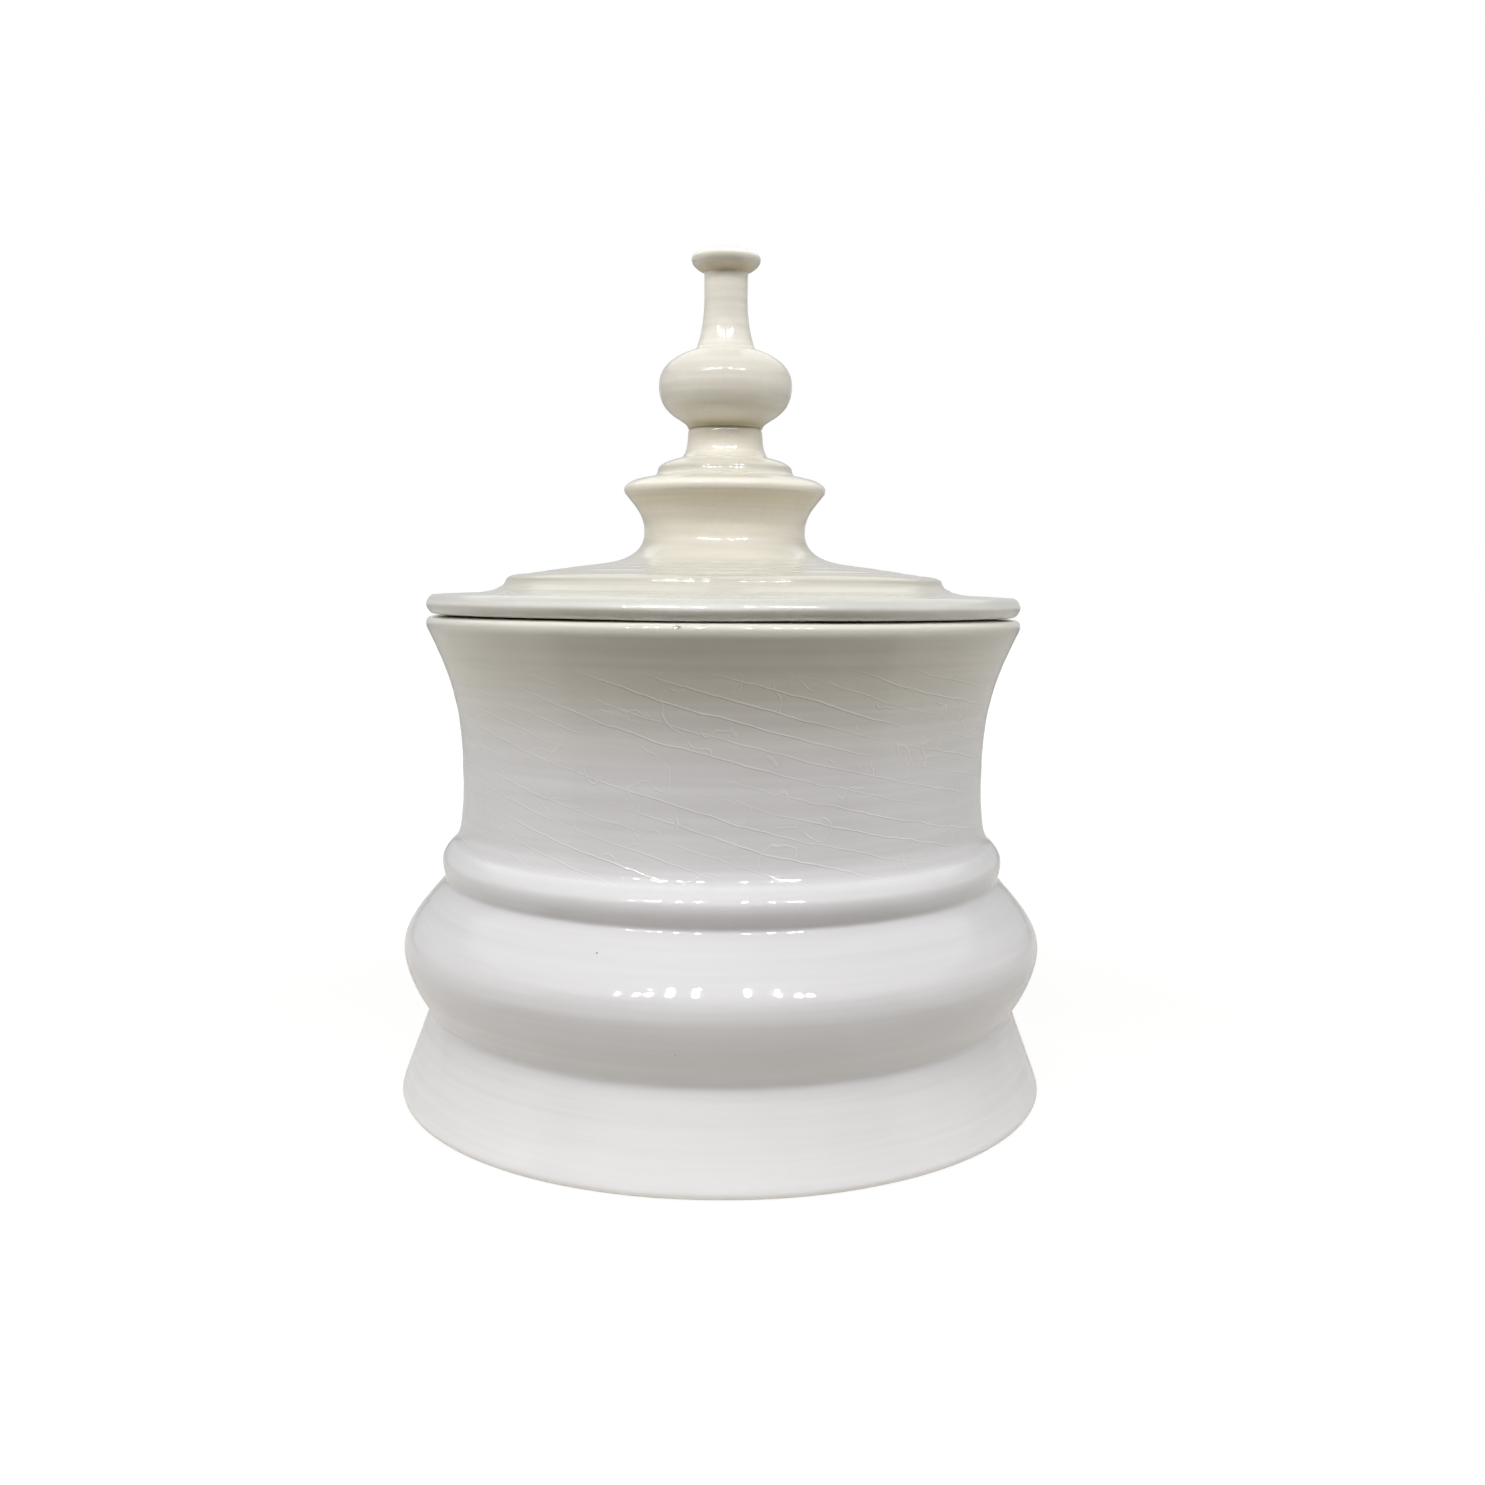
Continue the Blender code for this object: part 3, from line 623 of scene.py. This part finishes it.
def makeFloor():
    bpy.ops.object.select_all(action="DESELECT")
    bpy.ops.mesh.primitive_plane_add(size=studio["floorSize"], location=(0, 0, 0))
    floor = bpy.context.object
    floor.name = "studioFloor"
    material, tree = newMaterial("paleFloor")
    path = addNode(tree, "ShaderNodeLightPath")
    seen = addNode(tree, "ShaderNodeMath", {"operation": "MULTIPLY_ADD"}, i0=path.outputs["Is Glossy Ray"],
                   i1=studio["floorInGlaze"], i2=path.outputs["Is Camera Ray"])
    shown = addNode(tree, "ShaderNodeMath", {"operation": "ADD", "use_clamp": True}, i0=seen.outputs[0],
                    i1=path.outputs["Is Transmission Ray"])
    coords = addNode(tree, "ShaderNodeTexCoord").outputs["Object"]
    away = addNode(tree, "ShaderNodeVectorMath", {"operation": "LENGTH"}, i0=coords).outputs["Value"]
    near = addNode(tree, "ShaderNodeMapRange", Value=away, **spanned(studio["sheetEdge"] + (1.0, 0.0)))
    axes = addNode(tree, "ShaderNodeSeparateXYZ", Vector=coords)
    bearing = bearingFromFront(tree, axes)
    sides = addNode(tree, "ShaderNodeMapRange", Value=bearing, **spanned(studio["darkFront"]))
    sheet = addNode(tree, "ShaderNodeMath", {"operation": "MAXIMUM"}, i0=near.outputs[0], i1=sides.outputs[0])
    pale = addNode(tree, "ShaderNodeMath", {"operation": "MAXIMUM"}, i0=sheet.outputs[0], i1=shown.outputs[0])
    tone = addNode(tree, "ShaderNodeMix", {"data_type": "RGBA"}, Factor=pale.outputs[0],
                   i6=srgb(studio["farTone"]), i7=srgb(studio["sheetTone"]))
    glow = addNode(tree, "ShaderNodeMath", {"operation": "MULTIPLY"}, i0=shown.outputs[0],
                   i1=studio["floorGlow"])
    whiteSpan = studio["whiteFrom"] + studio["floorWhite"]
    whiteness = addNode(tree, "ShaderNodeMapRange", Value=away, **spanned(whiteSpan))
    matt = addNode(tree, "ShaderNodeBsdfDiffuse", Color=tone.outputs[2])
    white = addNode(tree, "ShaderNodeEmission", Strength=whiteness.outputs[0])
    both = addNode(tree, "ShaderNodeMixShader", i0=glow.outputs[0], i1=matt.outputs[0], i2=white.outputs[0])
    addNode(tree, "ShaderNodeOutputMaterial", Surface=both.outputs[0])
    floor.data.materials.append(material)


def makeSky():
    world = bpy.data.worlds.new("studioSky")
    scene.world = world
    world.use_nodes = True
    tree = world.node_tree
    tree.nodes.clear()
    coords = addNode(tree, "ShaderNodeTexCoord").outputs["Generated"]
    axes = addNode(tree, "ShaderNodeSeparateXYZ", Vector=coords)
    bearing = bearingFromFront(tree, axes)
    wallSpan = studio["frontEdge"] + (studio["wallFront"], studio["wallSide"])
    walls = addNode(tree, "ShaderNodeMapRange", Value=bearing, **spanned(wallSpan))
    behind = addNode(tree, "ShaderNodeMapRange", Value=bearing, **spanned(studio["backEdge"]))
    allRound = addNode(tree, "ShaderNodeMix", {"data_type": "FLOAT"}, Factor=behind.outputs[0],
                       i2=walls.outputs[0], i3=studio["wallBack"])
    upper = addNode(tree, "ShaderNodeMapRange", Value=axes.outputs["Z"], **spanned(studio["wallTop"]))
    level = addNode(tree, "ShaderNodeMix", {"data_type": "FLOAT"}, Factor=upper.outputs[0],
                    i2=allRound.outputs[0], i3=studio["skyTop"])
    wallsSeen = addNode(tree, "ShaderNodeMath", {"operation": "MULTIPLY"}, i0=allRound.outputs[0],
                        i1=studio["inGlaze"])
    mirrored = addNode(tree, "ShaderNodeMix", {"data_type": "FLOAT"}, Factor=upper.outputs[0],
                       i2=wallsSeen.outputs[0], i3=studio["skyInGlaze"])
    path = addNode(tree, "ShaderNodeLightPath")
    inGlaze = addNode(tree, "ShaderNodeMix", {"data_type": "FLOAT"}, Factor=path.outputs["Is Glossy Ray"],
                      i2=level.outputs[0], i3=mirrored.outputs[0])
    seen = addNode(tree, "ShaderNodeMath", {"operation": "ADD", "use_clamp": True},
                   i0=path.outputs["Is Camera Ray"], i1=path.outputs["Is Transmission Ray"])
    strength = addNode(tree, "ShaderNodeMix", {"data_type": "FLOAT"}, Factor=seen.outputs[0],
                       i2=inGlaze.outputs[0], i3=studio["skySeen"])
    light = addNode(tree, "ShaderNodeBackground", Color=(1, 1, 1, 1), Strength=strength.outputs[0])
    addNode(tree, "ShaderNodeOutputWorld", Surface=light.outputs[0])


def makeLight(name, place, size, power):
    lamp = bpy.data.lights.new(name, "AREA")
    lamp.shape = "RECTANGLE"
    lamp.size, lamp.size_y = size
    lamp.energy = power
    light = bpy.data.objects.new(name, lamp)
    scene.collection.objects.link(light)
    light.location = place
    light.rotation_euler = (Vector(studio["aim"]) - Vector(place)).to_track_quat("-Z", "Y").to_euler()
    return light


def makeLights():
    for degrees, up, power in studio["boxes"]:
        turn, rise = math.radians(degrees), math.radians(up)
        place = Vector((math.sin(turn) * math.cos(rise), -math.cos(turn) * math.cos(rise), math.sin(rise)))
        box = makeLight("softBox", Vector(studio["aim"]) + place * studio["boxAway"], studio["boxSize"], power)
        box.visible_glossy = False  # only the small lamps mirror in the glaze
    for column in studio["lamps"]:
        place = (column, studio["lampDepth"], studio["lampHeight"])
        lamp = makeLight("ceilingLamp", place, studio["lampSize"], studio["lampPower"])
        lamp.visible_diffuse = False  # too small to light the jar, they only glint


makeFloor()
makeSky()
makeLights()
scene.view_settings.view_transform = "Standard"
print("studio lit")
